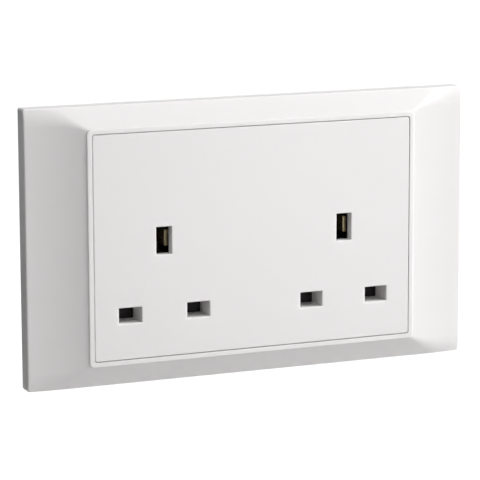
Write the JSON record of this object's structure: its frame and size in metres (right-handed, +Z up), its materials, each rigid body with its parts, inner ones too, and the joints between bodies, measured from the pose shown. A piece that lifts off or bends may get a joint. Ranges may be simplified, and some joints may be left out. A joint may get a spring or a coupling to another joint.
{
  "type": "uk twin socket",
  "caption": "Twin wall socket for three-pin British plugs, with a clip-on sloping surround, sprung safety shutters, brass contacts and screw terminals behind.",
  "frame": {"origin": "middle of the plate, half-way between the two fixing holes, in the plane of the wall", "axes": "+Y into the wall along the fixing screws, +Z up, +X to the right as seen from the room"},
  "size_m": [0.146, 0.0326, 0.086],
  "materials": {
    "surround_plastic": "smooth satin-gloss white moulding",
    "face_plastic": "smooth satin-gloss white moulding",
    "frame_plastic": "plain white moulding",
    "housing_plastic": "plain white moulding",
    "shutter_plastic": "plain black moulding",
    "brass": "rolled and machined brass",
    "steel": "plated steel",
    "spring_steel": "drawn steel wire"
  },
  "bodies": {
    "chassis": {"socket_face": "face_plastic", "mounting_frame": "frame_plastic", "rear_housing": "housing_plastic", "live_bar": "brass", "neutral_bar": "brass", "earth_bar": "brass", "case_screws": "steel", "left_shutter_spring": "spring_steel", "left_earth_contact": "brass", "left_neutral_contact": "brass", "left_live_contact": "brass", "right_shutter_spring": "spring_steel", "right_earth_contact": "brass", "right_neutral_contact": "brass", "right_live_contact": "brass", "live_terminal": "brass", "neutral_terminal": "brass", "left_earth_terminal": "brass", "right_earth_terminal": "brass"},
    "cover": {"cover_frame": "surround_plastic"},
    "left_shutter": {"left_shutter": "shutter_plastic"},
    "right_shutter": {"right_shutter": "shutter_plastic"},
    "live_terminal_screw": {"live_terminal_screw": "steel"},
    "neutral_terminal_screw": {"neutral_terminal_screw": "steel"},
    "left_earth_terminal_screw": {"left_earth_terminal_screw": "steel"},
    "right_earth_terminal_screw": {"right_earth_terminal_screw": "steel"}
  },
  "joints": [
    {"name": "cover_pull_off", "type": "slide", "parent": "chassis", "child": "cover", "axis": [0, -1, 0], "range_m": [0, 0.03]},
    {"name": "left_shutter_slide", "type": "slide", "parent": "chassis", "child": "left_shutter", "axis": [0, 0, -1], "range_m": [0, 0.0058], "stiffness_N_per_m": 200, "springref_m": -0.004, "deforming": ["left_shutter_spring"]},
    {"name": "right_shutter_slide", "type": "slide", "parent": "chassis", "child": "right_shutter", "axis": [0, 0, -1], "range_m": [0, 0.0058], "stiffness_N_per_m": 200, "springref_m": -0.004, "deforming": ["right_shutter_spring"]},
    {"name": "live_screw_in", "type": "slide", "parent": "chassis", "child": "live_terminal_screw", "axis": [0, -1, 0], "range_m": [0, 0.003]},
    {"name": "neutral_screw_in", "type": "slide", "parent": "chassis", "child": "neutral_terminal_screw", "axis": [0, -1, 0], "range_m": [0, 0.003]},
    {"name": "left_earth_screw_in", "type": "slide", "parent": "chassis", "child": "left_earth_terminal_screw", "axis": [0, -1, 0], "range_m": [0, 0.003]},
    {"name": "right_earth_screw_in", "type": "slide", "parent": "chassis", "child": "right_earth_terminal_screw", "axis": [0, -1, 0], "range_m": [0, 0.003]}
  ]
}
